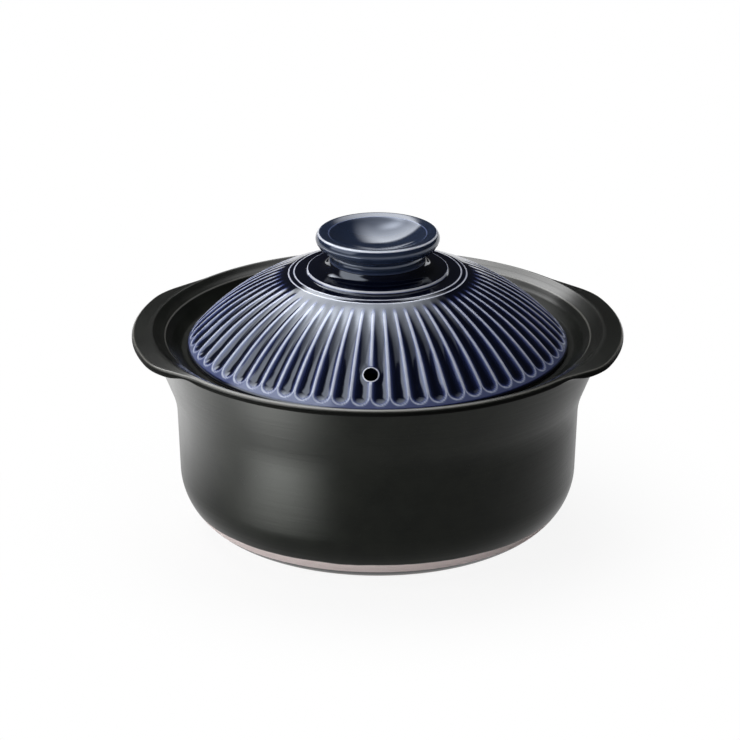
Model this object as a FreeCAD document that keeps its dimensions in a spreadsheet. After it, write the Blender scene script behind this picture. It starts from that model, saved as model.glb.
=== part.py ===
import FreeCAD, Part
import math
import os

import Sketcher
from FreeCAD import Placement, Rotation, Vector

# A clay rice pot: a thick black-glazed pot with two ear lobes on its rim, and a domed lid
# with chrysanthemum flutes and a dished knob. Millimetres and degrees, +Z up, the origin
# on the table at the middle of the base, the ears along X and the front towards -Y.

SIZES = {
    # pot wall and floor
    "pot_radius": 98.0,
    "wall_thickness": 8.0,
    "wall_spread": 2.5,
    "floor_thickness": 9.0,
    "heel_radius": 31.2,
    "inner_heel_radius": 24.0,
    # flared mouth, from the straight wall up to the ridge of the rim
    "flare_height": 67.0,
    "flare_inset": 1.3,
    "cove_radius": 42.0,
    "seat_height": 93.6,
    "gallery_width": 8.2,
    "gallery_rise": 6.0,
    "gallery_curve": 24.0,
    "lip_width": 6.8,
    "lip_rise": 4.4,
    "ridge_round": 1.2,
    "rim_edge": 1.7,
    "rim_thickness": 5.6,
    "under_round": 3.0,
    # ear lobes
    "ear_length": 8.1,
    "ear_fall": 2.4,
    "ear_flank_angle": 49.5,
    "ear_flank_inset": 2.1,
    "ear_corner_radius": 35.0,
    "ear_blend_radius": 70.0,
    "edge_round": 0.9,
    "trim_allowance": 4.0,
    # lid
    "lid_overlap": 5.0,
    "lid_clearance": 2.6,
    "lid_foot_width": 6.5,
    "lid_edge": 1.5,
    "lid_thickness": 7.0,
    "lid_turn": 2.4,
    "dome_rise": 37.7,
    "dome_curve": 118.0,
    "crown_rise": 7.1,
    "crown_width": 10.3,
    "crown_curve": 26.0,
    "ring_rise": 2.7,
    "ring_gap": 6.6,
    "ring_step": 2.7,
    "ring_curve": 9.0,
    # flutes and steam hole
    "flute_count": 60,
    "flute_radius": 4.9,
    "flute_end_radius": 5.1,
    "flute_end_inset": 4.6,
    "flute_end_lift": 3.0,
    "flute_top_inset": 3.8,
    "flute_top_lift": 4.55,
    "steam_hole": 7.0,
    "steam_hole_inset": 13.4,
    # knob
    "knob_foot_radius": 24.6,
    "knob_foot_flare": 2.8,
    "knob_foot_curve": 3.0,
    "knob_neck_height": 5.7,
    "knob_neck_round": 2.6,
    "knob_overhang": 6.0,
    "knob_under_rise": 1.2,
    "knob_side_lean": 1.0,
    "knob_side_height": 7.7,
    "knob_side_curve": 4.6,
    "knob_land_width": 4.6,
    "knob_land_drop": 1.6,
    "knob_dish_depth": 5.6,
    "knob_dish_curve": 55.0,
}

# Radii and heights that follow from the sizes, as expressions on the sheet
INSIDE = "size.pot_radius - size.wall_thickness"
WALL_TOP = "size.pot_radius + size.wall_spread"
LID = f"{INSIDE} + size.lid_overlap"
LID_FOOT = f"{LID} - size.lid_foot_width"
SEAT = f"{LID} + size.lid_clearance"
GALLERY = f"{SEAT} + size.gallery_width"
RIDGE = f"{GALLERY} + size.lip_width"
RIM = f"{RIDGE} + size.rim_edge"
FLARE_TOP = f"{RIM} - size.flare_inset"
FLANK = f"{RIM} - size.ear_flank_inset"
EAR = f"{RIM} + size.ear_length"
TRIM = f"{EAR} + size.trim_allowance"
GALLERY_TOP = "size.seat_height + size.gallery_rise"
RIDGE_TOP = f"{GALLERY_TOP} + size.lip_rise"
RIM_UNDER = f"{RIDGE_TOP} - size.rim_thickness"
EAR_SLOPE = "size.ear_fall / (size.rim_edge + size.ear_length)"
TRIM_TOP = f"{RIDGE_TOP} - size.ear_fall - {EAR_SLOPE} * size.trim_allowance"

INNER_RING = "size.knob_foot_radius + size.crown_width"
MIDDLE_RING = f"{INNER_RING} + size.ring_gap"
OUTER_RING = f"{MIDDLE_RING} + size.ring_step"
RING_SLOPE = "size.ring_rise / (size.ring_gap + size.ring_step)"
MIDDLE_RING_TOP = f"size.dome_rise + {RING_SLOPE} * size.ring_step"
INNER_RING_TOP = "size.dome_rise + size.ring_rise"
CROWN_TOP = "size.dome_rise + size.crown_rise"
FLUTE_END = f"{LID} - size.flute_end_inset"
FLUTE_TOP = f"{OUTER_RING} + size.flute_top_inset"
FLUTE_REACH = "size.dome_curve + size.flute_end_lift"
STEAM_HOLE_CUT = "(size.lid_thickness + size.flute_radius) * 2"

KNOB_NECK = "size.knob_foot_radius - size.knob_foot_flare"
KNOB_UNDER = f"{KNOB_NECK} + size.knob_overhang"
KNOB_TOP = f"{KNOB_UNDER} + size.knob_side_lean"
KNOB_UNDER_HEIGHT = "size.knob_neck_height + size.knob_under_rise"
KNOB_HEIGHT = f"{KNOB_UNDER_HEIGHT} + size.knob_side_height"
KNOB_LAND_HEIGHT = f"{KNOB_HEIGHT} - size.knob_land_drop"

# How near an edge lies to the place it is looked for
NEAR = 0.05

doc = FreeCAD.newDocument("clay_pot")
sheet = doc.addObject("Spreadsheet::Sheet", "size")
for row, (alias, number) in enumerate(SIZES.items(), start=1):
    sheet.set(f"A{row}", alias)
    sheet.set(f"B{row}", str(number))
    sheet.setAlias(f"B{row}", alias)
doc.recompute()


def value(expression):
    """The number that an expression on the sheet stands for."""
    return float(sheet.evalExpression(expression))


def origin_item(body, role):
    return next(item for item in body.Origin.OriginFeatures if item.Role == role)


def new_body(name):
    body = doc.addObject("PartDesign::Body", name)
    body.Label = name
    return body


def new_sketch(body, name, role):
    sketch = body.newObject("Sketcher::SketchObject", name)
    sketch.AttachmentSupport = (origin_item(body, role), "")
    sketch.MapMode = "FlatFace"
    return sketch


def relate(sketch, kind, *where):
    """A relation between parts of a sketch, with no size of its own."""
    sketch.addConstraint(Sketcher.Constraint(kind, *where))


def dimension(sketch, kind, *where, size):
    """A dimension of a sketch that follows the sheet."""
    index = sketch.addConstraint(Sketcher.Constraint(kind, *where, value(size)))
    sketch.setExpression(f"Constraints[{index}]", size)


def place_point(sketch, edge, end, x, y):
    """Hold a point of a sketch at a pair of expressions, or on an axis where one is 0."""
    for kind, axis, size in (("DistanceX", -2, x), ("DistanceY", -1, y)):
        if size == "0":
            relate(sketch, "PointOnObject", edge, end, axis)
        else:
            dimension(sketch, kind, -1, 1, edge, end, size=size)


def add_line(sketch, start, end):
    """A line, with the numbers of its two ends in the order of travel."""
    return sketch.addGeometry(Part.LineSegment(start, end)), 1, 2


def add_arc(sketch, start, end, radius, side):
    """An arc that curls to the left or right of its way, with its ends as for a line."""
    half = (end - start) / 2
    across = Vector(-half.y, half.x, 0).normalize()
    reach = math.sqrt(value(radius) ** 2 - half.Length ** 2)
    centre = start + half + across * (reach if side == "left" else -reach)
    first, last = (start, end) if side == "left" else (end, start)
    angles = [math.atan2(p.y - centre.y, p.x - centre.x) for p in (first, last)]
    circle = Part.Circle(centre, Vector(0, 0, 1), value(radius))
    edge = sketch.addGeometry(Part.ArcOfCircle(circle, *angles))
    dimension(sketch, "Radius", edge, size=radius)
    return (edge, 1, 2) if side == "left" else (edge, 2, 1)


def add_circle(sketch, radius):
    """A circle about the middle of a sketch."""
    circle = sketch.addGeometry(Part.Circle(Vector(), Vector(0, 0, 1), value(radius)))
    relate(sketch, "Coincident", circle, 3, -1, 1)
    dimension(sketch, "Radius", circle, size=radius)


def chain(sketch, kind, edges):
    """Join each edge of a closed outline to the next."""
    for (edge, _, last), (following, first, _) in zip(edges, edges[1:] + edges[:1]):
        relate(sketch, kind, edge, last, following, first)


def profile(body, name, corners, arcs):
    """A closed section in the XZ plane through corners given as pairs of expressions.

    arcs holds the edges that are arcs, by the corner they start from: a radius and a side.
    """
    sketch = new_sketch(body, name, "XZ_Plane")
    points = [Vector(value(x), value(y), 0) for x, y in corners.values()]
    edges = []
    for corner, start, end in zip(corners, points, points[1:] + points[:1]):
        if corner in arcs:
            edges.append(add_arc(sketch, start, end, *arcs[corner]))
        else:
            edges.append(add_line(sketch, start, end))
    chain(sketch, "Coincident", edges)
    for (edge, first, _), (x, y) in zip(edges, corners.values()):
        place_point(sketch, edge, first, x, y)
    return sketch


def revolve(body, name, sketch):
    turned = body.newObject("PartDesign::Revolution", name)
    turned.Profile = sketch
    turned.ReferenceAxis = (sketch, ["V_Axis"])
    turned.Angle = 360
    doc.recompute()
    return turned


def fillet(body, name, edges, size):
    """Round some edges of the body's newest feature."""
    rounded = body.newObject("PartDesign::Fillet", name)
    rounded.Base = (rounded.BaseFeature, edges)
    rounded.setExpression("Radius", size)
    doc.recompute()


def circle_at(body, radius, height):
    """The circular edge of a turned body at a radius and a height."""
    for number, edge in enumerate(body.Tip.Shape.Edges, start=1):
        box = edge.BoundBox
        level = box.ZLength < NEAR and abs(box.ZMin - value(height)) < NEAR
        if level and abs(box.XMax - value(radius)) < NEAR:
            return [f"Edge{number}"]
    raise ValueError(f"no circle at {radius}, {height}")


def outline_edges(body, on_top):
    """The edges round the top or the underside of the trimmed rim."""
    middle = value(RIDGE_TOP) - value("size.rim_thickness") / 2
    found = []
    for number, edge in enumerate(body.Tip.Shape.Edges, start=1):
        point = edge.valueAt((edge.FirstParameter + edge.LastParameter) / 2)
        upright = edge.BoundBox.ZLength > value("size.rim_thickness") / 2
        outside = math.hypot(point.x, point.y) > value(RIM) - NEAR
        if outside and not upright and (point.z > middle) == on_top:
            found.append(f"Edge{number}")
    return found


def lobed_outline(body):
    """The rim's outline in plan, inside a larger circle: the ring between is trimmed off.

    Each ear is an arc about the axis. Its flanks are straight chords of the round rim, and
    run into the ear and into the rim through tangent arcs.
    """
    sketch = new_sketch(body, "rim_outline", "XY_Plane")
    ear, rim, flank = value(EAR), value(RIM), value(FLANK)
    corner, blend = value("size.ear_corner_radius"), value("size.ear_blend_radius")
    normal = math.radians(value("size.ear_flank_angle"))
    corner_slide = math.sqrt((ear - corner) ** 2 - (flank - corner) ** 2)
    blend_slide = math.sqrt((rim + blend) ** 2 - (flank + blend) ** 2)

    def by_flank(out, along):
        """A point so far out along the flank's normal, and along the flank to the ear."""
        return Vector(out * math.cos(normal) + along * math.sin(normal),
                      out * math.sin(normal) - along * math.cos(normal), 0)

    # Where the parts of one quarter of the outline meet, from the ear to the round rim
    joints = [by_flank(flank - corner, corner_slide).normalize() * ear,
              by_flank(flank, corner_slide),
              by_flank(flank, blend_slide),
              by_flank(flank + blend, blend_slide).normalize() * rim]
    # The flank's heading in each quarter, on the way round against the clock
    headings = ("90 deg + {}", "-90 deg - {}", "-90 deg + {}", "90 deg - {}")
    mirrors = ((1, 1), (-1, 1), (-1, -1), (1, -1))
    quarters = []
    for turn, (x, y) in enumerate(mirrors):
        quarter = [Vector(x * joint.x, y * joint.y, 0) for joint in joints]
        quarters.append(quarter[::-1] if turn % 2 else quarter)

    edges = []
    for turn, quarter in enumerate(quarters):
        main = add_arc(sketch, quarters[turn - 1][-1], quarter[0], RIM if turn % 2 else EAR, "left")
        relate(sketch, "Coincident", main[0], 3, -1, 1)
        line = add_line(sketch, quarter[1], quarter[2])
        dimension(sketch, "Distance", -1, 1, line[0], size=FLANK)
        heading = math.atan2(quarter[2].y - quarter[1].y, quarter[2].x - quarter[1].x)
        lean = sketch.addConstraint(Sketcher.Constraint("Angle", line[0], heading))
        sketch.setExpression(f"Constraints[{lean}]",
                             headings[turn].format("size.ear_flank_angle * 1 deg"))
        curves = [("size.ear_corner_radius", "left"), ("size.ear_blend_radius", "right")]
        before, after = curves[::-1] if turn % 2 else curves
        edges += [main, add_arc(sketch, quarter[0], quarter[1], *before),
                  line, add_arc(sketch, quarter[2], quarter[3], *after)]
    chain(sketch, "Tangent", edges)
    add_circle(sketch, f"{TRIM} + size.trim_allowance")
    return sketch


def make_pot():
    body = new_body("pot_body")
    section = profile(body, "pot_section", {
        "base_middle": ("0", "0"),
        "base_edge": ("size.pot_radius", "0"),
        "wall_top": (WALL_TOP, "size.flare_height"),
        "flare_top": (FLARE_TOP, RIM_UNDER),
        "flange_under": (TRIM, RIM_UNDER),
        "flange_top": (TRIM, TRIM_TOP),
        "ridge": (RIDGE, RIDGE_TOP),
        "gallery_edge": (GALLERY, GALLERY_TOP),
        "seat_corner": (SEAT, "size.seat_height"),
        "mouth": (INSIDE, "size.seat_height"),
        "floor_corner": (INSIDE, "size.floor_thickness"),
        "floor_middle": ("0", "size.floor_thickness"),
    }, arcs={"gallery_edge": ("size.gallery_curve", "right")})
    revolve(body, "pot_turned", section)
    rounds = (
        ("heel", "size.pot_radius", "0", "size.heel_radius"),
        ("cove", WALL_TOP, "size.flare_height", "size.cove_radius"),
        ("rim_under", FLARE_TOP, RIM_UNDER, "size.under_round"),
        ("ridge", RIDGE, RIDGE_TOP, "size.ridge_round"),
        ("floor", INSIDE, "size.floor_thickness", "size.inner_heel_radius"),
    )
    for name, radius, height, size in rounds:
        fillet(body, f"{name}_round", circle_at(body, radius, height), size)
    trim = body.newObject("PartDesign::Pocket", "rim_trim")
    trim.Profile = lobed_outline(body)
    trim.Type = "ThroughAll"
    trim.Reversed = True
    doc.recompute()
    fillet(body, "edge_round_top", outline_edges(body, on_top=True), "size.edge_round")
    fillet(body, "edge_round_under", outline_edges(body, on_top=False), "size.edge_round")
    return body


def add_dome(sketch):
    """The dome's meridian as a guide line in a sketch, with its middle and its edge number."""
    corners = ((OUTER_RING, "size.dome_rise"), (LID, "size.lid_edge"))
    top, foot = [Vector(value(x), value(y), 0) for x, y in corners]
    dome, *ends = add_arc(sketch, top, foot, "size.dome_curve", "right")
    for end, corner in zip(ends, corners):
        place_point(sketch, dome, end, *corner)
    sketch.toggleConstruction(dome)
    return dome, sketch.Geometry[dome].Center


def above_dome(centre, x, reach):
    """The point at a distance x from the axis, and a reach from the dome's middle."""
    rise = math.sqrt(value(reach) ** 2 - (value(x) - centre.x) ** 2)
    return Vector(value(x), centre.y + rise, 0)


def flute_path(body):
    """The way of a flute's cutter: an arc above the dome that nears it downwards."""
    sketch = new_sketch(body, "flute_path", "XZ_Plane")
    sketch.AttachmentOffset = Placement(Vector(), Rotation(Vector(0, 1, 0), 1))
    sketch.setExpression("AttachmentOffset.Rotation.Angle", "180 deg / size.flute_count")
    dome, centre = add_dome(sketch)
    top_reach = "size.dome_curve + size.flute_top_lift"
    way, low, high = add_arc(sketch, above_dome(centre, FLUTE_END, FLUTE_REACH),
                             above_dome(centre, FLUTE_TOP, top_reach), FLUTE_REACH, "left")
    for end, x, reach in ((low, FLUTE_END, FLUTE_REACH), (high, FLUTE_TOP, top_reach)):
        dimension(sketch, "DistanceX", -1, 1, way, end, size=x)
        dimension(sketch, "Distance", dome, 3, way, end, size=reach)
    arc = sketch.Geometry[way]
    sweep = sketch.addConstraint(
        Sketcher.Constraint("Angle", way, arc.LastParameter - arc.FirstParameter))
    sketch.setDriving(sweep, False)
    sketch.renameConstraint(sweep, "sweep")
    doc.recompute()
    return sketch


def at_flute_end(body, path, name):
    """A sketch square to the cutter's way at its lower end, with Y away from the dome."""
    sketch = body.newObject("Sketcher::SketchObject", name)
    sketch.AttachmentSupport = (path, "Edge1")
    sketch.MapMode = "NormalToEdge"
    sketch.MapPathParameter = 0
    return sketch


def flute_section(body, path):
    """The cutter's round section, and the axis that it swings about."""
    sketch = at_flute_end(body, path, "flute_section")
    add_circle(sketch, "size.flute_radius")
    reach, half = value(FLUTE_REACH), value("size.flute_radius")
    axis, start, end = add_line(sketch, Vector(half, -reach, 0), Vector(-half, -reach, 0))
    relate(sketch, "Symmetric", axis, start, axis, end, -2)
    dimension(sketch, "DistanceX", axis, end, axis, start, size="size.flute_radius * 2")
    dimension(sketch, "DistanceY", axis, start, -1, 1, size=FLUTE_REACH)
    sketch.toggleConstruction(axis)
    doc.recompute()
    return sketch


def flute_end_section(body, path):
    """Half of the ball that rounds a flute's end, on the side away from the dome."""
    sketch = at_flute_end(body, path, "flute_end_section")
    radius = value("size.flute_end_radius")
    circle = Part.Circle(Vector(), Vector(0, 0, 1), radius)
    arc = sketch.addGeometry(Part.ArcOfCircle(circle, 0, math.pi)), 1, 2
    line = add_line(sketch, Vector(-radius, 0, 0), Vector(radius, 0, 0))
    chain(sketch, "Coincident", [arc, line])
    relate(sketch, "Coincident", arc[0], 3, -1, 1)
    relate(sketch, "PointOnObject", arc[0], 1, -1)
    relate(sketch, "PointOnObject", arc[0], 2, -1)
    dimension(sketch, "Radius", arc[0], size="size.flute_end_radius")
    doc.recompute()
    return sketch


def cut_round(body, name, sketch, axis, angle):
    """Swing a section about an axis of its sketch to cut one flute, and repeat the cut."""
    groove = body.newObject("PartDesign::Groove", name)
    groove.Profile = sketch
    groove.ReferenceAxis = (sketch, [axis])
    groove.setExpression("Angle", angle)
    doc.recompute()
    ring = body.newObject("PartDesign::PolarPattern", f"{name}_ring")
    ring.Originals = [groove]
    ring.Axis = (origin_item(body, "Z_Axis"), [""])
    ring.Angle = 360
    ring.setExpression("Occurrences", "size.flute_count")
    body.Tip = ring
    doc.recompute()


def cut_flutes(body):
    """Round-ended flutes that widen and deepen from the crown down to the lid's edge."""
    path = flute_path(body)
    sweep = "flute_path.Constraints.sweep"
    cut_round(body, "flute_groove", flute_section(body, path), "Axis0", sweep)
    cut_round(body, "flute_end", flute_end_section(body, path), "H_Axis", "360 deg")


def drill_steam_hole(body):
    """A hole square to the dome, on the ridge between two flutes."""
    axis = new_sketch(body, "steam_hole_axis", "XZ_Plane")
    dome, centre = add_dome(axis)
    mouth = f"{LID} - size.steam_hole_inset"
    line, start, end = add_line(axis, centre, above_dome(centre, mouth, "size.dome_curve"))
    relate(axis, "Coincident", line, start, dome, 3)
    dimension(axis, "DistanceX", -1, 1, line, end, size=mouth)
    dimension(axis, "Distance", line, size="size.dome_curve")
    doc.recompute()
    section = body.newObject("Sketcher::SketchObject", "steam_hole_section")
    section.AttachmentSupport = (axis, "Edge1")
    section.MapMode = "NormalToEdge"
    section.MapPathParameter = 1
    add_circle(section, "size.steam_hole / 2")
    hole = body.newObject("PartDesign::Pocket", "steam_hole")
    hole.Profile = section
    hole.Type = "Length"
    hole.Midplane = True
    hole.setExpression("Length", STEAM_HOLE_CUT)
    doc.recompute()


def make_lid():
    body = new_body("lid_shell")
    section = profile(body, "lid_section", {
        "crown_middle": ("0", CROWN_TOP),
        "knob_seat": ("size.knob_foot_radius", CROWN_TOP),
        "inner_ring": (INNER_RING, INNER_RING_TOP),
        "middle_ring": (MIDDLE_RING, MIDDLE_RING_TOP),
        "outer_ring": (OUTER_RING, "size.dome_rise"),
        "lid_edge": (LID, "size.lid_edge"),
        "foot_outer": (LID, "0"),
        "foot_inner": (LID_FOOT, "0"),
        "inner_shoulder": (OUTER_RING, "size.dome_rise - size.lid_thickness"),
        "inner_crown": ("size.knob_foot_radius", f"{CROWN_TOP} - size.lid_thickness"),
        "inner_middle": ("0", f"{CROWN_TOP} - size.lid_thickness"),
    }, arcs={
        "knob_seat": ("size.crown_curve", "left"),
        "inner_ring": ("size.ring_curve", "left"),
        "middle_ring": ("size.ring_curve", "left"),
        "outer_ring": ("size.dome_curve", "right"),
        "foot_inner": ("size.dome_curve - size.lid_thickness", "left"),
    })
    revolve(body, "lid_turned", section)
    cut_flutes(body)
    drill_steam_hole(body)
    # The lid rests on the seat, turned so that its steam hole is just left of the front
    body.Placement = Placement(Vector(), Rotation(Vector(0, 0, -1), 1))
    body.setExpression("Placement.Rotation.Angle", "90 deg + size.lid_turn * 1 deg")
    body.setExpression("Placement.Base.z", "size.seat_height")
    return body


def make_knob():
    body = new_body("lid_knob")
    section = profile(body, "knob_section", {
        "foot_middle": ("0", "0"),
        "foot": ("size.knob_foot_radius", "0"),
        "neck_foot": (KNOB_NECK, "size.knob_foot_flare"),
        "neck_top": (KNOB_NECK, "size.knob_neck_height"),
        "under_edge": (KNOB_UNDER, KNOB_UNDER_HEIGHT),
        "top_edge": (KNOB_TOP, KNOB_HEIGHT),
        "land_edge": (f"{KNOB_TOP} - size.knob_land_width", KNOB_LAND_HEIGHT),
        "dish_middle": ("0", f"{KNOB_LAND_HEIGHT} - size.knob_dish_depth"),
    }, arcs={
        "foot": ("size.knob_foot_curve", "right"),
        "under_edge": ("size.knob_side_curve", "left"),
        "land_edge": ("size.knob_dish_curve", "right"),
    })
    revolve(body, "knob_turned", section)
    fillet(body, "neck_round", circle_at(body, KNOB_NECK, "size.knob_neck_height"),
           "size.knob_neck_round")
    body.setExpression("Placement.Base.z", f"size.seat_height + {CROWN_TOP}")
    return body


parts = [make_pot(), make_lid(), make_knob()]
doc.recompute()
for item in doc.Objects:
    if "Invalid" in item.State or "Error" in item.State:
        raise RuntimeError(f"{item.Name} failed: {item.getStatusString()}")
for part in parts:
    if part.Shape.isNull() or not part.Shape.isValid():
        raise RuntimeError(f"{part.Label} has no valid shape")

os.makedirs("parts", exist_ok=True)
for part in parts:
    part.Shape.exportStep(f"parts/{part.Label}.step")
    print(part.Label, round(part.Shape.Volume), "mm3")
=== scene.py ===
import math

import bpy
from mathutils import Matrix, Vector


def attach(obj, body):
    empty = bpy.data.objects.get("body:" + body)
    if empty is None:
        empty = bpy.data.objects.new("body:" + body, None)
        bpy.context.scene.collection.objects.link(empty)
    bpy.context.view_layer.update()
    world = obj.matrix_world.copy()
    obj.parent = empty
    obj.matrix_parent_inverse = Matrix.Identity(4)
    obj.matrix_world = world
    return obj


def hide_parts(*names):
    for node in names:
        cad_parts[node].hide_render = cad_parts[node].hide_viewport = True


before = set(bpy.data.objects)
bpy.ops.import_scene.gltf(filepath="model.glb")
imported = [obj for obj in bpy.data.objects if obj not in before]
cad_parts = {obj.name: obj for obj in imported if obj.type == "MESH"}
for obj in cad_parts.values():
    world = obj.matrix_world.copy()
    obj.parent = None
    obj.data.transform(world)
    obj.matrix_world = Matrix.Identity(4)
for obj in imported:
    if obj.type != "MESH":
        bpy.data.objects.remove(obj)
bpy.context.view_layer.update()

# A clay rice pot with a chrysanthemum lid. Sizes are in millimetres until a point is placed.
MM = 0.001
NEAR_NOTHING = 0.01
SMOOTH_ANGLE = math.radians(50)


# Sections of the turned pieces, as lines of points (distance from the axis, height)

def bowed(start, end, radius, step):
    """Points of an arc after its start. It curls to the left, or for a negative radius to the right."""
    (x0, y0), (x1, y1) = start, end
    half = math.hypot(x1 - x0, y1 - y0) / 2
    along = ((x1 - x0) / half / 2, (y1 - y0) / half / 2)
    reach = math.copysign(math.sqrt(radius ** 2 - half ** 2), radius)
    cx, cy = (x0 + x1) / 2 - along[1] * reach, (y0 + y1) / 2 + along[0] * reach
    first = math.atan2(y0 - cy, x0 - cx)
    sweep = math.copysign(2 * math.asin(half / abs(radius)), radius)
    steps = max(2, math.ceil(abs(sweep * radius) / step))
    return [(cx + abs(radius) * math.cos(first + sweep * n / steps),
             cy + abs(radius) * math.sin(first + sweep * n / steps)) for n in range(1, steps + 1)]


def evenly(start, end, steps):
    """Points of a line after its start, in so many steps."""
    return [(start[0] + (end[0] - start[0]) * n / steps,
             start[1] + (end[1] - start[1]) * n / steps) for n in range(1, steps + 1)]


def straight(start, end, step):
    """Points of a line after its start, at most a step apart."""
    return evenly(start, end, max(1, math.ceil(math.dist(start, end) / step)))


def towards(start, end, length):
    """The point that is so far from the start on the way to the end."""
    share = length / math.dist(start, end)
    return start[0] + (end[0] - start[0]) * share, start[1] + (end[1] - start[1]) * share


def drawn(corners, step):
    """A close line through corners (r, z). A third value rounds a corner, a fourth bows the run after it."""
    places = [corner[:2] for corner in corners]
    line = [places[0]]
    for number, corner in enumerate(corners[:-1]):
        here, there = places[number], places[number + 1]
        bow = corner[3] if len(corner) > 3 else 0
        following = corners[number + 1]
        rounding = following[2] if len(following) > 2 and number + 2 < len(corners) else 0
        if bow:
            line += bowed(line[-1], there, bow, step)
        elif rounding:
            beyond = places[number + 2]
            turn = (math.atan2(beyond[1] - there[1], beyond[0] - there[0])
                    - math.atan2(there[1] - here[1], there[0] - here[0]))
            turn = math.remainder(turn, math.tau)
            trim = rounding * math.tan(abs(turn) / 2)
            line += straight(line[-1], towards(there, here, trim), step)
            line += bowed(line[-1], towards(there, beyond, trim), math.copysign(rounding, turn), step)
        else:
            line += straight(line[-1], there, step)
    return line


def softened(line, reach, step=0.2):
    """The line with its edges eased as glaze eases them, over about so many millimetres."""
    even, carry = [line[0]], 0.0
    for start, end in zip(line, line[1:]):
        length = math.dist(start, end)
        along = step - carry
        while along <= length:
            even.append(towards(start, end, along))
            along += step
        carry = length - (along - step)
    even.append(line[-1])
    window = round(reach / step)
    span = 2 * window + 1
    for _ in range(2):
        padded = [even[0]] * window + even + [even[-1]] * window
        eased = [(sum(p[0] for p in padded[n:n + span]) / span,
                  sum(p[1] for p in padded[n:n + span]) / span) for n in range(1, len(even) - 1)]
        even = [even[0]] + eased + [even[-1]]
    return even


def thinned(line, slack=0.012, longest=6.0):
    """The fewest points that keep the line's shape to the slack, none further apart than the longest."""
    kept, start = [line[0]], 0
    while start < len(line) - 1:
        end = start + 1
        while end + 1 < len(line) and math.dist(line[start], line[end + 1]) < longest:
            (x0, y0), (x1, y1) = line[start], line[end + 1]
            run = math.dist(line[start], line[end + 1]) or 1e-9
            off = max(abs((x1 - x0) * (y - y0) - (y1 - y0) * (x - x0)) / run
                      for x, y in line[start + 1:end + 1])
            if off > slack:
                break
            end += 1
        kept.append(line[end])
        start = end
    return kept


def smooth_step(low, high, value):
    """0 up to low, 1 from high, and a soft step between."""
    t = min(1.0, max(0.0, (value - low) / (high - low)))
    return t * t * (3 - 2 * t)


# Modelling helpers

SEAM_GAP = 0.004
SLIVER = 0.0005
CLAY_DAB = 2.0


def start_piece(name, adder, **how):
    """Add a primitive as the start of a piece, alone in the selection."""
    bpy.ops.object.select_all(action="DESELECT")
    adder(**how)
    piece = bpy.context.object
    piece.name = piece.data.name = name
    return piece


def edit(piece):
    """Take up a piece alone, in edit mode, with all of it selected."""
    bpy.ops.object.select_all(action="DESELECT")
    piece.select_set(True)
    bpy.context.view_layer.objects.active = piece
    bpy.ops.object.mode_set(mode="EDIT")
    bpy.ops.mesh.select_all(action="SELECT")


def close_up():
    """Join the seams and poles of the piece in hand, turn its faces outwards and put it down."""
    bpy.ops.mesh.select_all(action="SELECT")
    bpy.ops.mesh.remove_doubles(threshold=SEAM_GAP * MM)
    bpy.ops.mesh.dissolve_degenerate(threshold=SLIVER * MM)
    bpy.ops.mesh.select_all(action="SELECT")
    bpy.ops.mesh.normals_make_consistent(inside=False)
    bpy.ops.object.mode_set(mode="OBJECT")
    bpy.ops.object.shade_smooth_by_angle(angle=SMOOTH_ANGLE)


def turn_on_wheel(name, line, steps):
    """Draw a section out from one corner, and spin it about the axis."""
    first = Vector((line[0][0], 0, line[0][1])) * MM
    piece = start_piece(name, bpy.ops.mesh.primitive_plane_add, size=CLAY_DAB * MM, location=first)
    bpy.ops.object.transform_apply(location=True, rotation=False, scale=False)
    edit(piece)
    bpy.ops.mesh.merge(type="CENTER")
    for start, end in zip(line, line[1:]):
        step = ((end[0] - start[0]) * MM, 0, (end[1] - start[1]) * MM)
        bpy.ops.mesh.extrude_region_move(TRANSFORM_OT_translate={"value": step})
    bpy.ops.mesh.select_all(action="SELECT")
    bpy.ops.mesh.spin(steps=steps, angle=math.tau, center=(0, 0, 0), axis=(0, 0, 1))
    close_up()
    return piece


def keep_on_points(piece, name, values):
    """Keep a value for each point of a piece, for its finish to read."""
    layer = piece.data.attributes.new(name, "FLOAT", "POINT")
    layer.data.foreach_set("value", values)


def on_round(r, angle, z):
    """A point of the scene, from a distance and bearing about the axis and a height."""
    return Vector((r * math.cos(angle), r * math.sin(angle), z)) * MM


# The pot

RIM = 114.3
EAR = 122.4
FLANK_BEARING = math.radians(49.5)
FLANK_REACH = RIM - 2.1
EAR_CORNER = 35.0
EAR_BLEND = 70.0
BASE = 98.0
BASE_ROUND = 31.2
WALL_TOP = (100.5, 67.0)
WALL_BEND = 42.0
FLARE_TOP = (113.0, 98.4)
UNDER_ROUND = 3.0
RIM_LIFT = 2.6
LIFT_FADE = 5.0
EDGE_ROUND = 0.9
TOP_ROUND = 1.7
EAR_SLOPE = 0.11
RIDGE = (112.6, 102.8)
CREST = (RIDGE[0] - 0.4, RIDGE[1])
CREST_END = (RIDGE[0] - 0.7, RIDGE[1] - 0.05)
LIP = (105.8, 99.6)
LIP_BOW = 24.0
SEAT = 93.6
SEAT_EDGE = 97.6
MOUTH = 90.0
FLOOR = 9.0
FLOOR_ROUND = 24.0
INSIDE_EASE = 0.45

COVE_ROWS = 6
UNDER_ROWS = 3
EDGE_ROWS = 5
SIDE_ROWS = 4
TOP_ROWS = 8
CREST_ROWS = 4
POT_STEPS = 288
ON_RIM = 0.02
PALE_EDGE_ROWS = 1.1


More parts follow.
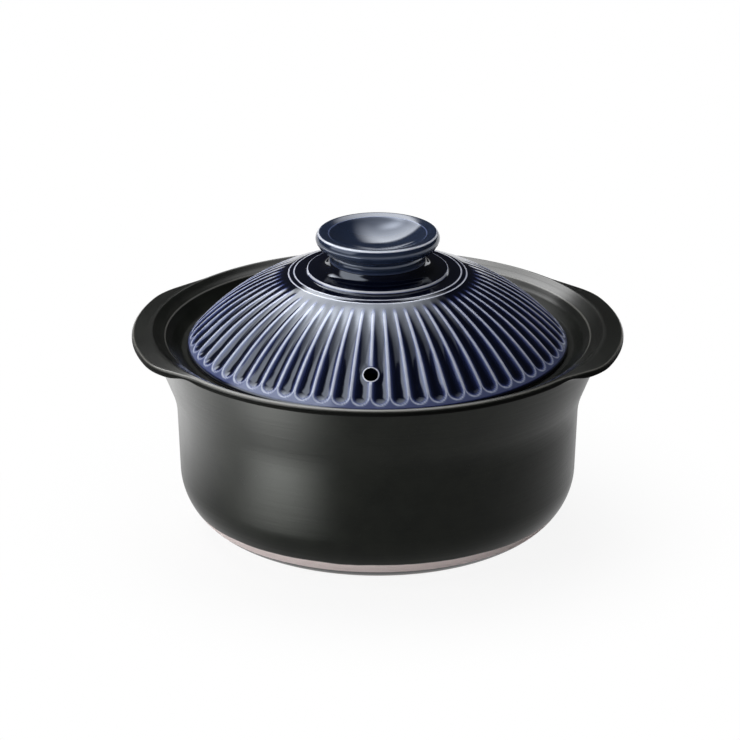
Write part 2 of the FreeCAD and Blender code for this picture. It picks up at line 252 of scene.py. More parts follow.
def ear_reach(angle):
    """The rim's outline in plan: an arc on each ear, straight flanks, and blends into the round rim."""
    x, y = abs(math.cos(angle)), abs(math.sin(angle))
    corner_slide = math.sqrt((EAR - EAR_CORNER) ** 2 - (FLANK_REACH - EAR_CORNER) ** 2)
    blend_slide = math.sqrt((RIM + EAR_BLEND) ** 2 - (FLANK_REACH + EAR_BLEND) ** 2)

    def by_flank(out, along):
        """A point so far out square to the flank, and so far along it towards the ear."""
        return (out * math.cos(FLANK_BEARING) + along * math.sin(FLANK_BEARING),
                out * math.sin(FLANK_BEARING) - along * math.cos(FLANK_BEARING))

    def on_circle(centre, radius, far):
        """How far along the ray a circle is met, on its far or its near side."""
        ahead = centre[0] * x + centre[1] * y
        aside = centre[0] * y - centre[1] * x
        half = math.sqrt(max(0.0, radius ** 2 - aside ** 2))
        return ahead + half if far else ahead - half

    def bearing(point):
        return math.atan2(point[1], point[0])

    corner_centre = by_flank(FLANK_REACH - EAR_CORNER, corner_slide)
    blend_centre = by_flank(FLANK_REACH + EAR_BLEND, blend_slide)
    here = math.atan2(y, x)
    if here < bearing(corner_centre):
        return EAR
    if here < bearing(by_flank(FLANK_REACH, corner_slide)):
        return on_circle(corner_centre, EAR_CORNER, True)
    if here < bearing(by_flank(FLANK_REACH, blend_slide)):
        return FLANK_REACH / math.cos(here - FLANK_BEARING)
    if here < bearing(blend_centre):
        return on_circle(blend_centre, EAR_BLEND, False)
    return RIM


def rim_section(reach):
    """The rim from the flare, under the edge and over it to the crest, out to some reach from the axis."""
    lean = math.atan2(FLARE_TOP[1] - WALL_TOP[1], FLARE_TOP[0] - WALL_TOP[0])
    trim = UNDER_ROUND * math.tan(lean / 2)
    lift = RIM_LIFT * (1 - smooth_step(RIM, RIM + LIFT_FADE, reach))
    cove_end = FLARE_TOP[0] + lift / math.tan(lean) + trim
    edge = reach - EDGE_ROUND
    full = math.asin(min(1.0, max(0.0, (cove_end - edge) / UNDER_ROUND)))
    points = [towards(FLARE_TOP, WALL_TOP, trim)]
    for n in range(1, COVE_ROWS + 1):
        bearing = lean + (full - lean) * n / COVE_ROWS
        points.append((cove_end - UNDER_ROUND * math.sin(bearing),
                       FLARE_TOP[1] + lift - UNDER_ROUND * (1 - math.cos(bearing))))
    low = points[-1][1]
    points += evenly(points[-1], (edge, low), UNDER_ROWS)
    for n in range(1, EDGE_ROWS + 1):
        turn = math.pi / 2 * n / EDGE_ROWS
        points.append((edge + EDGE_ROUND * math.sin(turn), low + EDGE_ROUND * (1 - math.cos(turn))))
    top = RIDGE[1] - EAR_SLOPE * (reach - RIDGE[0])
    points += evenly((reach, low + EDGE_ROUND), (reach, top - TOP_ROUND), SIDE_ROWS)
    for n in range(1, TOP_ROWS + 1):
        turn = math.pi / 2 * n / TOP_ROWS
        points.append((reach - TOP_ROUND + TOP_ROUND * math.cos(turn),
                       top - TOP_ROUND + TOP_ROUND * math.sin(turn)))
    return points + evenly(points[-1], CREST, CREST_ROWS)


def make_pot():
    """Turn the pot with a round rim, and draw the rim's rows out into the ears."""
    rim = rim_section(RIM)
    outside = drawn([(0, 0), (BASE, 0, BASE_ROUND), (*WALL_TOP, WALL_BEND), rim[0]], 0.8)
    inside = drawn([rim[-1], (*CREST_END, 0, -LIP_BOW), (*LIP, 0, -LIP_BOW), (SEAT_EDGE, SEAT),
                    (MOUTH, SEAT), (MOUTH, FLOOR, FLOOR_ROUND), (0, FLOOR)], 0.5)
    line = thinned(outside)[:-1] + rim + thinned(softened(inside, INSIDE_EASE))[1:]
    pot = turn_on_wheel("pot", line, POT_STEPS)
    top_edge = len(rim) - CREST_ROWS - TOP_ROWS // 2
    thin_and_highlight = [0.0] * len(pot.data.vertices)
    painted_shade = [0.0] * len(pot.data.vertices)
    for vertex in pot.data.vertices:
        x, y, z = vertex.co / MM
        here = math.hypot(x, y), z
        row = min(range(len(rim)), key=lambda number: math.dist(rim[number], here))
        if math.dist(rim[row], here) < ON_RIM:
            angle = math.atan2(y, x)
            r, z = rim_section(ear_reach(angle))[row]
            vertex.co = on_round(r, angle, z)
            # Painted shade mask: the rim's underside and outer face, later blackened, made rougher and left
            # without coat
            side_start = smooth_step(COVE_ROWS, COVE_ROWS + UNDER_ROWS, row)
            side_end = smooth_step(top_edge - TOP_ROWS // 2, top_edge - TOP_ROWS // 4, row)
            # Pale line along the rim's rounded top edge: partly thin glaze, partly painted highlight
            thin_and_highlight[vertex.index] = math.exp(-((row - top_edge) / PALE_EDGE_ROWS) ** 2)
            painted_shade[vertex.index] = side_start * (1 - side_end)
    keep_on_points(pot, "thin_glaze", thin_and_highlight)
    keep_on_points(pot, "deep_glaze", painted_shade)
    return pot


# The lid

CROWN = 138.4
CROWN_EDGE = 24.0
CROWN_COVE = 5.7
TERRACE = (29.4, 134.1)
RINGS = ((34.9, 134.0), (41.5, 132.084), (44.2, 131.3))
RING_STEP = (35.5, 132.35)
RING_COVE = 9.0
DOME = 118.0
LID_EDGE = (95.0, 95.1)
LID_FOOT = 88.5
DOME_INSIDE = 111.0
SHOULDER_INSIDE = (44.2, 124.3)
CROWN_INSIDE = (24.6, 131.4)
CROWN_EASE = 0.3
UNDERSIDE_EASE = 0.4

DOME_ROWS = (46.2, 94.2)
FIRST_SPACING = 1.19
MIDDLE_SPACING = 2.19
END_SPACING = 0.59
MIDDLE_FROM = 54.0
END_FROM = 84.5

FLUTES = 60
HALF_PITCH = math.pi / FLUTES
FRONT_RIDGE = math.radians(-92.4)
FLUTE_TOP = 48.0
FLUTE_END = 90.4
FLUTE_FADE = (FLUTE_TOP - 3.0, FLUTE_TOP + 2.0)
LINE_FADE = (FLUTE_TOP - 2.0, FLUTE_TOP + 4.0)
CARVED_FROM = 44.6
SHALLOWEST = 0.1
DEEPENING = 1.75
DEEPENING_POWER = 1.2
END_RISE = 0.33
END_RAMP = 6.0
END_CONE = 0.8
RIDGE_EASE = 0.1
RIDGE_HALF = 0.34
RIDGE_GROWTH = 0.18
ACROSS = (0, 0.3, 0.56, 0.77, 0.9, 1.0)
RIDGE_SHARE = 0.42

STEAM_HOLE = Vector((-3.33, -79.47, 106.69))
STEAM_AXIS = Vector((0.0277, 0.6608, -0.75)).normalized()
STEAM_RADIUS = 3.5
STEAM_SEAT = -2.5
SEAT_THICK = 2.0
SEAT_FLAT = 4.0
SEAT_BLEND = 6.0
DRILL_LENGTH = 26.0
DRILL_SIDES = 48

# How pale the glaze is, from 0 in a flute to 1, and over what distances it pales: partly thin glaze, partly
# painted highlight along the ridges, flute ends and lower band
RIDGE_PALE = 0.9
LINE_HALF = 0.1
LINE_SOFT = 0.4
END_LINE_HALF = 0.25
END_LINE_SOFT = 0.5
BAND_PALE = 0.5
SLOPE_PALE = 0.22
SLOPE_WIDTH = 1.1
LOWER_PALE = 0.22
LOWER_WIDTH = 0.5
LOWER = (60.0, 84.0)


def flute_at(r):
    """A flute's depth and half width, and half of the pitch, at a distance from the axis."""
    down = max(0.0, min(1.0, (r - FLUTE_TOP) / (FLUTE_END - FLUTE_TOP)))
    depth = (SHALLOWEST + DEEPENING * down ** DEEPENING_POWER) * smooth_step(*FLUTE_FADE, r)
    depth *= 1 - END_RISE * smooth_step(FLUTE_END - END_RAMP, FLUTE_END, r)
    pitch = math.pi * r / FLUTES
    return depth, pitch - RIDGE_HALF - RIDGE_GROWTH * down, pitch


def lid_rows():
    """The lid's section as rows (r, z), with the dome's rows close together at the flutes' ends."""
    crown = drawn([(0, CROWN), (CROWN_EDGE, CROWN, 0, CROWN_COVE), TERRACE, RINGS[0], RING_STEP,
                   (*RINGS[1], 0, RING_COVE), (*RINGS[2], 0, -DOME), LID_EDGE], 0.2)
    crown = softened(crown, CROWN_EASE)
    rows = thinned([p for p in crown if p[0] < DOME_ROWS[0]], 0.01, 5.0)
    for point in crown:
        if not DOME_ROWS[0] <= point[0] < DOME_ROWS[1]:
            continue
        spacing = FIRST_SPACING
        if point[0] > END_FROM:
            spacing = END_SPACING
        elif point[0] > MIDDLE_FROM:
            spacing = MIDDLE_SPACING
        if math.dist(point, rows[-1]) >= spacing:
            rows.append(point)
    under = drawn([rows[-1], LID_EDGE, (LID_EDGE[0], SEAT), (LID_FOOT, SEAT, 0, DOME_INSIDE),
                   SHOULDER_INSIDE, CROWN_INSIDE, (0, CROWN_INSIDE[1])], 0.3)
    return rows + thinned(softened(under, UNDERSIDE_EASE), 0.02, 9.0)[1:], len(rows)


def dome_heart():
    """The centre of the dome's arc in section."""
    chord = math.dist(RINGS[2], LID_EDGE) / 2
    lean = math.atan2(RINGS[2][1] - LID_EDGE[1], LID_EDGE[0] - RINGS[2][0])
    middle = ((RINGS[2][0] + LID_EDGE[0]) / 2, (RINGS[2][1] + LID_EDGE[1]) / 2)
    drop = math.sqrt(DOME ** 2 - chord ** 2)
    return middle[0] - drop * math.sin(lean), middle[1] - drop * math.cos(lean)


def across_flute(column, r):
    """How far a column of the grid is from the middle of its flute."""
    _, half, pitch = flute_at(r)
    step = abs(column)
    if step < len(ACROSS):
        return ACROSS[step] * half
    return half + (pitch - half) * (RIDGE_SHARE if step == len(ACROSS) else 1.0)


def glaze_thinness_and_highlight(r, beyond, past):
    """How pale the glaze is, partly thin glaze and partly painted highlight, by the distance beyond a
    flute's edge and past its end's centre.
    """
    if beyond < 0:
        lower = smooth_step(*LOWER, r)
        line = RIDGE_PALE * math.exp(-(max(0.0, -beyond - LINE_HALF) / LINE_SOFT) ** 2)
        slope = SLOPE_PALE + LOWER_PALE * lower
        slope *= math.exp(-(beyond / (SLOPE_WIDTH + LOWER_WIDTH * lower)) ** 2)
        thin_and_highlight = max(line, slope)
    elif past > 0:
        line = RIDGE_PALE * math.exp(-(max(0.0, beyond - END_LINE_HALF) / END_LINE_SOFT) ** 2)
        thin_and_highlight = max(line, BAND_PALE)
    else:
        thin_and_highlight = RIDGE_PALE
    return thin_and_highlight * smooth_step(*LINE_FADE, r)


def carved(r, z, across, heart):
    """A point of the dome with its flute carved, and how pale the glaze is there, partly thin glaze and
    partly painted highlight.
    """
    bearing = math.acos(max(-1.0, min(1.0, (r - heart[0]) / DOME)))
    end_bearing = math.acos((FLUTE_END - heart[0]) / DOME)
    past = max(0.0, (end_bearing - bearing) * DOME)
    depth, half, _ = flute_at(FLUTE_END if past > 0 else r)
    away = math.hypot(across, past)
    steep = 2 - END_CONE * (past / max(away, NEAR_NOTHING)) ** 2
    cut = depth * (1 - (away / half) ** steep)
    cut = (cut + math.sqrt(cut ** 2 + RIDGE_EASE ** 2)) / 2
    out = ((r - heart[0]) / DOME, (z - heart[1]) / DOME)
    return r - cut * out[0], z - cut * out[1], glaze_thinness_and_highlight(r, away - half, past)


def make_lid():
    """Shape a grid as one flute's wedge of the lid, and spin copies of it round the axis."""
    rows, outer_rows = lid_rows()
    heart = dome_heart()
    halves = len(ACROSS) + 1
    lid = start_piece("lid", bpy.ops.mesh.primitive_grid_add, size=1,
                      x_subdivisions=2 * halves, y_subdivisions=len(rows) - 1)
    thin_and_highlight = []
    for vertex in lid.data.vertices:
        column = round((vertex.co.x + 0.5) * 2 * halves) - halves
        row = round((vertex.co.y + 0.5) * (len(rows) - 1))
        reach, height = rows[row]
        across = across_flute(column, reach)
        r, z, thinness_and_highlight = reach, height, 0.0
        if row < outer_rows and reach > CARVED_FROM:
            r, z, thinness_and_highlight = carved(reach, height, across, heart)
        if reach < NEAR_NOTHING:
            r = 0.0
        turn = HALF_PITCH if abs(column) == halves else across / max(reach, NEAR_NOTHING)
        vertex.co = on_round(r, FRONT_RIDGE + HALF_PITCH + math.copysign(turn, column), z)
        thin_and_highlight.append(thinness_and_highlight)
    keep_on_points(lid, "thin_glaze", thin_and_highlight)
    edit(lid)
    bpy.ops.mesh.spin(steps=FLUTES - 1, angle=math.tau * (FLUTES - 1) / FLUTES,
                      center=(0, 0, 0), axis=(0, 0, 1), dupli=True)
    close_up()
    return lid


def flatten_for_steam_hole(lid):
    """Smooth the flutes into a small flat seat that the steam hole is drilled through."""
    for vertex in lid.data.vertices:
        off = vertex.co / MM - STEAM_HOLE
        along = off.dot(STEAM_AXIS)
        aside = (off - STEAM_AXIS * along).length
        if aside < SEAT_BLEND and abs(along - STEAM_SEAT) < SEAT_THICK:
            share = 1 - smooth_step(SEAT_FLAT, SEAT_BLEND, aside)
            vertex.co += STEAM_AXIS * ((STEAM_SEAT - along) * share * MM)


def drill_steam_hole(lid):
    """Cut the slanted steam hole through the lid."""
    drill = start_piece("steam_drill", bpy.ops.mesh.primitive_cylinder_add, vertices=DRILL_SIDES,
                        radius=STEAM_RADIUS * MM, depth=DRILL_LENGTH * MM, location=STEAM_HOLE * MM,
                        rotation=STEAM_AXIS.to_track_quat("Z", "Y").to_euler())
    bpy.context.view_layer.objects.active = lid
    cut = lid.modifiers.new("steam_hole", "BOOLEAN")
    cut.operation, cut.object, cut.solver = "DIFFERENCE", drill, "EXACT"
    bpy.ops.object.select_all(action="DESELECT")
    lid.select_set(True)
    bpy.ops.object.modifier_apply(modifier=cut.name)
    bpy.data.objects.remove(drill)
    bpy.ops.object.shade_smooth_by_angle(angle=SMOOTH_ANGLE)


# The knob

KNOB_FOOT = (23.9, 138.8)
FOOT_COVE = 2.6
KNOB_NECK = 21.8
NECK_LOW = 141.2
NECK_TOP = 144.1
NECK_ROUND = 2.6
KNOB_UNDER = (28.8, 145.4)
KNOB_BULGE = (31.3, 149.4)
BULGE_ROUND = 3.6
KNOB_EDGE = (29.5, 153.28)
KNOB_ROUND = 2.0
DISH_EDGE = (24.2, 152.2)
DISH_FLOOR = 144.8
DISH_BOW = 40.0
KNOB_EASE = 0.2
KNOB_STEPS = 160


def make_knob():
    """Turn the knob: its foot on the crown, the neck, the rounded rim and the dish."""
    line = drawn([(0, CROWN), (KNOB_FOOT[0], CROWN), (*KNOB_FOOT, 0, -FOOT_COVE), (KNOB_NECK, NECK_LOW),
                  (KNOB_NECK, NECK_TOP, NECK_ROUND), (*KNOB_UNDER, KNOB_ROUND), (*KNOB_BULGE, BULGE_ROUND),
                  (*KNOB_EDGE, KNOB_ROUND), (*DISH_EDGE, 0, -DISH_BOW), (0, DISH_FLOOR)], 0.15)
    return turn_on_wheel("knob", thinned(softened(line, KNOB_EASE, 0.1), 0.005, 3.0), KNOB_STEPS)


# Finishes

class Wire:
    """A node's output. Arithmetic on it adds Math nodes."""

    def __init__(self, finish, socket):
        self.finish, self.socket = finish, socket

    def maths(self, operation, *others):
        return self.finish.node("ShaderNodeMath", {"operation": operation},
                                dict(enumerate([self, *others])))

    def __add__(self, other):
        return self.maths("ADD", other)

    def __sub__(self, other):
        return self.maths("SUBTRACT", other)

    def __rsub__(self, other):
        return (self * -1) + other

    def __mul__(self, other):
        return self.maths("MULTIPLY", other)

    def __truediv__(self, other):
        return self.maths("DIVIDE", other)

    def __pow__(self, other):
        return self.maths("POWER", other)

    __radd__, __rmul__ = __add__, __mul__

    def larger(self, other):
        return self.maths("MAXIMUM", other)

    def smaller(self, other):
        return self.maths("MINIMUM", other)

    def between(self, low, high):
        """0 up to low, 1 from high, and a soft step between."""
        return self.finish.node("ShaderNodeMapRange", {"interpolation_type": "SMOOTHSTEP"},
                                {"Value": self, "From Min": low, "From Max": high})

    def rises(self, low, high):
        """A soft step between two places in millimetres."""
        return self.between(low * MM, high * MM)

    def line_at(self, middle, half):
        """1 along a line at a place in millimetres, and 0 from half its width away."""
        return (1 - ((self - middle * MM) / (half * MM)) ** 4).larger(0)


class Finish:
    """A node tree, with one method that adds a node."""

    def __init__(self, tree):
        self.tree = tree
        tree.nodes.clear()

    def node(self, kind, settings=None, sockets=None, out=0):
        """Add a node with its settings and the values or links of its sockets, and give one output."""
        made = self.tree.nodes.new(kind)
        for name, setting in (settings or {}).items():
            if name == "stops":
                ramp = made.color_ramp
                while len(ramp.elements) < len(setting):
                    ramp.elements.new(0.5)
                for element, (place, colour) in zip(ramp.elements, setting):
                    element.position, element.color = place, (*colour, 1)
            else:
                setattr(made, name, setting)
        for name, value in (sockets or {}).items():
            if isinstance(value, Wire):
                self.tree.links.new(value.socket, made.inputs[name])
            else:
                made.inputs[name].default_value = value
        return Wire(self, made.outputs[out]) if made.outputs else None

    def mix(self, share, first, second):
        """Mix two colours."""
        def colour(value):
            return value if isinstance(value, Wire) else (*value, 1)
        return self.node("ShaderNodeMix", {"data_type": "RGBA"},
                         {0: share, 6: colour(first), 7: colour(second)}, out=2)

    def ramp(self, share, stops):
        """A colour from stops along a scale from 0 to 1."""
        return self.node("ShaderNodeValToRGB", {"stops": stops}, {"Fac": share})

    def place(self):
        return self.node("ShaderNodeTexCoord", out=3)

    def stretched(self, scale):
        return self.node("ShaderNodeMapping", None, {"Vector": self.place(), "Scale": scale})

    def noise(self, size, detail=2.0, rough=0.5, vector=None):
        """Noise with spots of about so many millimetres."""
        return self.node("ShaderNodeTexNoise", None,
                         {"Vector": vector or self.place(), "Scale": 1 / (size * MM),
                          "Detail": detail, "Roughness": rough})

    def bump(self, strength, distance, height):
        """Unevenness of the surface, of so many millimetres."""
        return self.node("ShaderNodeBump", None,
                         {"Strength": strength, "Distance": distance * MM, "Height": height})

    def kept(self, name):
        """A value that was kept on a piece's points."""
        return self.node("ShaderNodeAttribute", {"attribute_name": name}, out=2)

    def vectors(self, operation, first, second=None, out=0):
        sockets = {0: first} if second is None else {0: first, 1: second}
        return self.node("ShaderNodeVectorMath", {"operation": operation}, sockets, out)

    def parts(self, vector):
        split = self.node("ShaderNodeSeparateXYZ", None, {0: vector}).socket.node
        return [Wire(self, output) for output in split.outputs]


def from_axis(x, y):
    """The distance from the pot's axis."""
    return ((x * x) + (y * y)) ** 0.5


def new_finish(name):
    material = bpy.data.materials.new(name)
    material.use_nodes = True
    return material, Finish(material.node_tree)


def fired(finish, sockets):
    """The shader of a glaze and its output."""
    shader = finish.node("ShaderNodeBsdfPrincipled", None, sockets)
    finish.node("ShaderNodeOutputMaterial", None, {"Surface": shader})


BLACK_DARK = (0.0042, 0.005, 0.004)
BLACK_PALE = (0.0075, 0.0085, 0.0068)
BLACK_SPECK = (0.05, 0.053, 0.046)
# Painted shade on the rim's underside and outer face
BLACK_PAINTED_SHADE = (0.0, 0.0, 0.0)
# Pale grey of the rim's edge lines: partly thin glaze, partly painted highlight
BLACK_THIN_GLAZE_AND_HIGHLIGHT = (0.34, 0.335, 0.31)
CLAY_DARK = (0.86, 0.74, 0.72)
CLAY_PALE = (0.97, 0.86, 0.85)
CLAY_STAIN = (0.86, 0.73, 0.71)
GLAZE_LINE = (13.7, 14.3)
GLAZE_WAVER = 1.6
UNDERSIDE_MIDDLE = (20.0, 20.1)
UNDERSIDE = (1.5, 2.0)
GLAZED_REACH = (89.0, 89.2)
GLAZED_FROM = (4.0, 4.2)
LIP_LINE = 105.9
LIP_LINE_FROM = (98.0, 98.4)
GLOSSY_MOUTH = (96.0, 97.0)
GLOSSY_REACH = (109.0, 110.0)
GLOSSY_RIM = (100.4, 101.6)


def black_glaze():
    """Satin black with fine specks and turning lines, glossy in the mouth, over a bare clay base, with
    painted shade on the rim's underside and outer face and pale edge lines that are partly thin glaze and
    partly painted highlight.
    """
    material, finish = new_finish("black_satin_glaze")
    x, y, z = finish.parts(finish.place())
    round_ = from_axis(x, y)
    speck = finish.noise(0.55, detail=3.0, rough=0.6)
    cloud = finish.noise(16.0, detail=3.0, rough=0.55)
    lines = finish.noise(2.6, detail=3.0, rough=0.6, vector=finish.stretched((0.03, 0.03, 1.0)))
    dip = finish.noise(22.0)
    grit = finish.noise(0.5, detail=3.0, rough=0.7)
    edge = finish.kept("thin_glaze")
    painted_shade = finish.kept("deep_glaze")

    bare = 1 - (z + (dip - 0.5) * (GLAZE_WAVER * MM)).rises(*GLAZE_LINE)
    bare = bare * round_.rises(*UNDERSIDE_MIDDLE).larger(1 - z.rises(*UNDERSIDE))
    bare = bare * (1 - (1 - round_.rises(*GLAZED_REACH)) * z.rises(*GLAZED_FROM))
    # The lip's edge line: partly thin glaze, partly painted highlight
    lip = round_.line_at(LIP_LINE, 0.45) * z.rises(*LIP_LINE_FROM)
    mouth = z.rises(*GLOSSY_MOUTH) * (1 - round_.rises(*GLOSSY_REACH))
    glossy = mouth.larger(z.rises(*GLOSSY_RIM))

    grey = finish.mix(cloud.between(0.3, 0.7), BLACK_DARK, BLACK_PALE)
    grey = finish.mix(speck.between(0.64, 0.8) * 0.6, grey, BLACK_SPECK)
    # Painted shade: the rim's underside and outer face darkened to black
    grey = finish.mix(painted_shade * 0.9, grey, BLACK_PAINTED_SHADE)
    # Pale edge and lip lines: partly thin glaze, partly painted highlight
    grey = finish.mix((edge * 0.55).larger(lip * 0.3), grey, BLACK_THIN_GLAZE_AND_HIGHLIGHT)
    clay = finish.mix(grit.between(0.3, 0.72), CLAY_DARK, CLAY_PALE)
    clay = finish.mix(cloud.between(0.35, 0.7) * 0.4, clay, CLAY_STAIN)
    satin = 0.31 + (cloud - 0.5) * 0.1 + (speck - 0.5) * 0.12
    fired(finish, {
        "Base Color": finish.mix(bare, grey, clay),
        "Roughness": (satin + painted_shade * 0.65) * (1 - bare) + 0.85 * bare,
        "Normal": finish.bump(0.3, 0.5, lines * 0.6 + speck * 0.12),
        "IOR": 1.5,
        "Specular IOR Level": 0.11,
        "Specular Tint": (0.97, 1.0, 0.95, 1),
        "Coat Weight": glossy * (1 - painted_shade),
        "Coat Roughness": 0.17,
        "Coat IOR": 1.5,
    })
    return material


# From thick glaze in the flutes to the pale ridge lines; the palest stops are partly painted highlight
INDIGO_STOPS = [
    (0.0, (0.0015, 0.0025, 0.01)),
    (0.2, (0.01, 0.015, 0.055)),
    (0.4, (0.055, 0.072, 0.2)),
    (0.7, (0.24, 0.28, 0.47)),
    (0.9, (0.58, 0.62, 0.76)),
    (1.0, (0.78, 0.79, 0.84)),
]
FOOT_DARK = (0.36, 0.29, 0.265)
FOOT_PALE = (0.5, 0.43, 0.4)
BARE_FOOT = (93.2, 94.4)
RING_HALF = 0.44
RING_FROM = (128.0, 129.0)
HOLE_WALL = (STEAM_RADIUS, STEAM_RADIUS + 0.08)
HOLE_RIM = (STEAM_RADIUS + 0.4, STEAM_RADIUS + 1.0)
BACK = (0.0, 1.0)


def indigo_glaze():
    """Glossy indigo, dark in the flutes and pale where it runs thin: ridges, rings and the hole's edge; the
    pale ridge and ring lines are partly painted highlight.
    """
    material, finish = new_finish("indigo_gloss_glaze")
    place = finish.place()
    x, y, z = finish.parts(place)
    round_ = from_axis(x, y)
    off = finish.vectors("SUBTRACT", place, STEAM_HOLE * MM)
    side = finish.vectors("CROSS_PRODUCT", off, STEAM_AXIS)
    from_hole = finish.vectors("LENGTH", side, out=1)
    flow = finish.noise(5.0, detail=3.0, rough=0.55)
    fine = finish.noise(0.6)

    at_back = y.rises(*BACK)
    outside = from_hole.rises(*HOLE_WALL).larger(at_back)
    hole_edge = (1 - from_hole.rises(*HOLE_RIM)) * (1 - at_back)
    rings = 0.0
    for ring, _ in RINGS:
        rings = round_.line_at(ring, RING_HALF).larger(rings)
    # Pale ridge, flute end and ring lines: partly thin glaze, partly painted highlight
    thin_and_highlight = finish.kept("thin_glaze")
    thin_and_highlight = thin_and_highlight + (flow - 0.5) * 0.16 * thin_and_highlight
    thin_and_highlight = thin_and_highlight.larger(hole_edge).larger(rings * z.rises(*RING_FROM)) * outside

    bare = 1 - z.rises(*BARE_FOOT)
    foot = finish.mix(fine.between(0.3, 0.7), FOOT_DARK, FOOT_PALE)
    fired(finish, {
        "Base Color": finish.mix(bare, finish.ramp(thin_and_highlight, INDIGO_STOPS), foot),
        "Roughness": 0.07 + (flow - 0.5) * 0.05 + bare * 0.7,
        "Normal": finish.bump(0.1, 0.4, flow + fine * 0.1),
        "IOR": 1.6,
        "Specular IOR Level": 0.85,
        "Specular Tint": (0.78, 0.86, 1.0, 1),
    })
    return material


# The palest stop is partly painted highlight
KNOB_STOPS = [
    (0.0, (0.018, 0.028, 0.058)),
    (0.3, (0.038, 0.054, 0.11)),
    (0.6, (0.13, 0.165, 0.3)),
    (1.0, (0.8, 0.83, 0.9)),
]
DISH_LINE = 24.3
BULGE_LINE = 149.3
KNOB_TOP = (151.0, 151.8)
BULGE_REACH = (30.0, 30.4)


def knob_glaze():
    """Glossy slate blue with pale lines on the edges: partly thin glaze, partly painted highlights and
    glints.
    """
    material, finish = new_finish("knob_gloss_glaze")
    x, y, z = finish.parts(finish.place())
    round_ = from_axis(x, y)
    flow = finish.noise(6.0, detail=3.0, rough=0.55)
    top = z.rises(*KNOB_TOP)
    # Pale lines at the top edge, dish edge, bulge and foot: partly thin glaze, partly painted highlights and
    # glints
    edge = round_.line_at(KNOB_EDGE[0], 0.55) * top
    edge = edge.larger(round_.line_at(DISH_LINE, 0.4) * 0.5 * top)
    edge = edge.larger(z.line_at(BULGE_LINE, 0.4) * 0.2 * round_.rises(*BULGE_REACH))
    edge = edge.larger(z.line_at(KNOB_FOOT[1], 0.4) * 0.3)
    fired(finish, {
        "Base Color": finish.ramp(edge + (flow - 0.5) * 0.1, KNOB_STOPS),
        "Roughness": 0.09 + (flow - 0.5) * 0.05,
        "Normal": finish.bump(0.05, 0.4, flow),
        "IOR": 1.6,
        "Specular IOR Level": 0.65,
        "Specular Tint": (0.76, 0.84, 1.0, 1),
    })
    return material


def wear_finish(piece, material, body, node):
    """Dress a piece, and have it ride its body in place of the plain solid."""
    piece.data.materials.clear()
    piece.data.materials.append(material)
    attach(piece, body)
    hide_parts(node)


pot = make_pot()
lid = make_lid()
flatten_for_steam_hole(lid)
drill_steam_hole(lid)
knob = make_knob()
wear_finish(pot, black_glaze(), "pot", "pot_body")
wear_finish(lid, indigo_glaze(), "lid", "lid_shell")
wear_finish(knob, knob_glaze(), "lid", "lid_knob")


# The studio: a pale floor, softboxes and the camera, in metres

WHITE = (1, 1, 1, 1)
FLOOR_SIZE = 24.0
FLOOR_GREY = (0.93, 0.93, 0.93)
FLOOR_PALE = (0.95, 0.95, 0.95)
SHADOW_SHARE = 0.1
SHADOW_FADE = (0.09, 0.2)
SKY = 0.02
SKY_LEFT = 0.03
SKY_FRONT = 0.15
LENS = 223.8
SENSOR = 36.0
CLIP_NEAR = 0.1
CLIP_FAR = 60.0
CAMERA_TARGET = Vector((-3.8, 0, 79.5)) * MM
CAMERA_OFFSET = Vector((0, -2144.6, 831.0)) * MM


def softbox(name, place, aim, size, level, soft=(0.35, 0.35, 0.35, 0.35), mirrored=True, lights=True):
    """A softbox that fades over a share of its size from its left, right, lower and upper edges.

    It may light the clay without a reflection in the glaze, or only be mirrored there.
    """
    bpy.ops.object.light_add(type="AREA", location=place)
    lamp = bpy.context.object
    lamp.name = name
    lamp.visible_camera, lamp.visible_glossy, lamp.visible_diffuse = False, mirrored, lights
    lamp.rotation_euler = (Vector(aim) - Vector(place)).to_track_quat("-Z", "Y").to_euler()
    light = lamp.data
    light.shape = "RECTANGLE"
    light.size, light.size_y = size
    light.energy = math.pi * light.size * light.size_y
    light.use_nodes = True
    finish = Finish(light.node_tree)
    u, v, _ = finish.parts(finish.node("ShaderNodeNewGeometry", out=5))
    left, right, low, high = soft
    glow = u.between(0, left) * (1 - u.between(1 - right, 1))
    glow = glow * v.between(0, low) * (1 - v.between(1 - high, 1))
    shine = finish.node("ShaderNodeEmission", None, {"Color": WHITE, "Strength": glow * level})
    finish.node("ShaderNodeOutputLight", None, {"Surface": shine})


def pale_floor():
    """A floor that is white to the camera and in reflections, with a share left for the shadow."""
    floor = start_piece("floor", bpy.ops.mesh.primitive_plane_add, size=FLOOR_SIZE)
    material, finish = new_finish("pale_floor")
    x, y, _ = finish.parts(finish.place())
    shade = finish.mix(finish.noise(30.0), FLOOR_GREY, FLOOR_PALE)
    plain = finish.node("ShaderNodeBsdfDiffuse", None, {"Color": shade})
    white = finish.node("ShaderNodeEmission", None, {"Color": WHITE, "Strength": 1.0})
    rays = finish.node("ShaderNodeLightPath").socket.node
    seen = Wire(finish, rays.outputs["Is Camera Ray"]) + Wire(finish, rays.outputs["Is Glossy Ray"])
    seen = (seen + Wire(finish, rays.outputs["Is Transmission Ray"])).smaller(1)
    away = from_axis(x, y).between(*SHADOW_FADE)
    share = seen * ((1 - SHADOW_SHARE) + away * SHADOW_SHARE)
    surface = finish.node("ShaderNodeMixShader", None, {0: share, 1: plain, 2: white})
    finish.node("ShaderNodeOutputMaterial", None, {"Surface": surface})
    floor.data.materials.append(material)


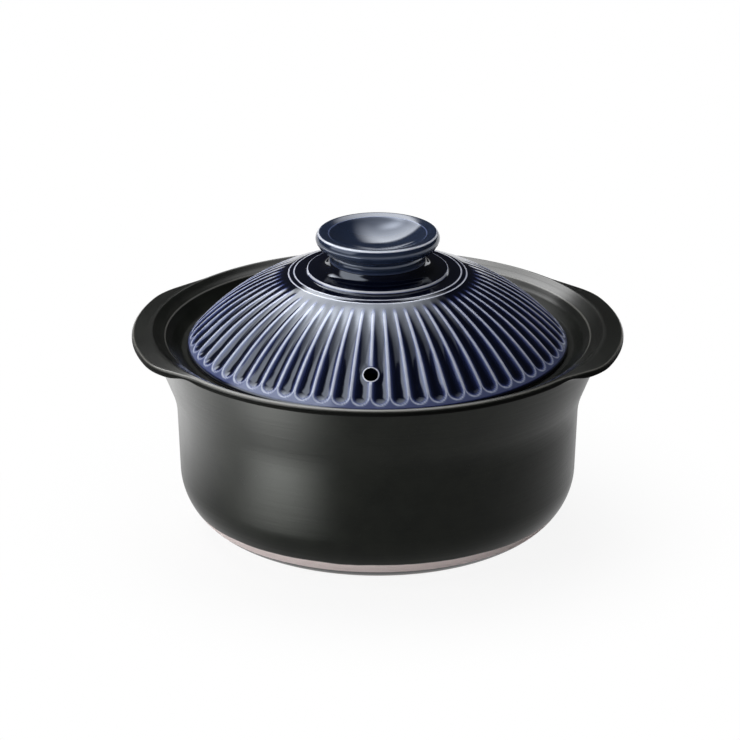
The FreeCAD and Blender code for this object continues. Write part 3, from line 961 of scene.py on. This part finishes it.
def studio_world():
    """A dim room, a little brighter on the left and low in front."""
    world = bpy.data.worlds.new("studio")
    bpy.context.scene.world = world
    world.use_nodes = True
    finish = Finish(world.node_tree)
    x, y, z = finish.parts(finish.node("ShaderNodeTexCoord", out=0))
    left = (x * -1).between(-0.3, 0.9)
    front = (y * -1).between(0.1, 0.9) * (1 - z.between(0.15, 0.6))
    level = SKY + left * SKY_LEFT + front * SKY_FRONT
    room = finish.node("ShaderNodeBackground", None, {"Color": WHITE, "Strength": level})
    finish.node("ShaderNodeOutputWorld", None, {"Surface": room})


def set_camera():
    """A long lens from the front, looking down on the pot."""
    camera_data = bpy.data.cameras.new("camera")
    camera_data.sensor_width, camera_data.lens = SENSOR, LENS
    camera_data.clip_start, camera_data.clip_end = CLIP_NEAR, CLIP_FAR
    camera = bpy.data.objects.new("camera", camera_data)
    bpy.context.scene.collection.objects.link(camera)
    camera.location = CAMERA_TARGET + CAMERA_OFFSET
    camera.rotation_euler = (CAMERA_TARGET - camera.location).to_track_quat("-Z", "Y").to_euler()
    bpy.context.scene.camera = camera


pale_floor()
studio_world()
softbox("overhead", place=(-0.32, 0.74, 1.87), aim=(0, 0, 0.13), size=(2.6, 2.5), level=4.6,
        soft=(0.3, 0.4, 0.1, 0.85))
softbox("left_side", place=(-1.45, 0.75, 1.0), aim=(0, 0, 0.1), size=(2.0, 1.6), level=1.2,
        mirrored=False)
softbox("overhead_front", place=(-0.25, 0.01, 1.9), aim=(-0.25, -0.01, 0.1), size=(1.9, 0.98), level=0.5,
        soft=(0.3, 0.3, 0.3, 0.06))
softbox("overhead_spot", place=(-0.46, 0.62, 1.9), aim=(-0.46, 0.6, 0.1), size=(1.2, 0.75), level=4.0,
        soft=(0.5, 0.5, 0.5, 0.5), lights=False)
softbox("left_front", place=(-1.07, -0.6, 0.9), aim=(0, 0, 0.1), size=(1.3, 1.4), level=3.2,
        mirrored=False)
softbox("left_glow", place=(-1.1, -0.36, 0.98), aim=(0, 0, 0.1), size=(1.7, 1.7), level=2.0,
        soft=(0.2, 0.2, 0.2, 0.2), lights=False)
softbox("front_fill", place=(-0.5, -2.4, 1.1), aim=(0, 0, 0.05), size=(2.6, 1.6), level=2.2,
        mirrored=False)
softbox("table_bounce", place=(-0.137, -0.154, 0.018), aim=(-0.121, -0.136, 0.118), size=(0.17, 0.19),
        level=19.0, soft=(0.5, 0.5, 0.5, 0.4), lights=False)
softbox("table_left", place=(-0.28, -0.02, 0.03), aim=(-0.26, -0.019, 0.23), size=(0.5, 0.36), level=3.4,
        soft=(0.4, 0.3, 0.28, 0.5), lights=False)
set_camera()
bpy.context.scene.view_settings.view_transform = "Standard"
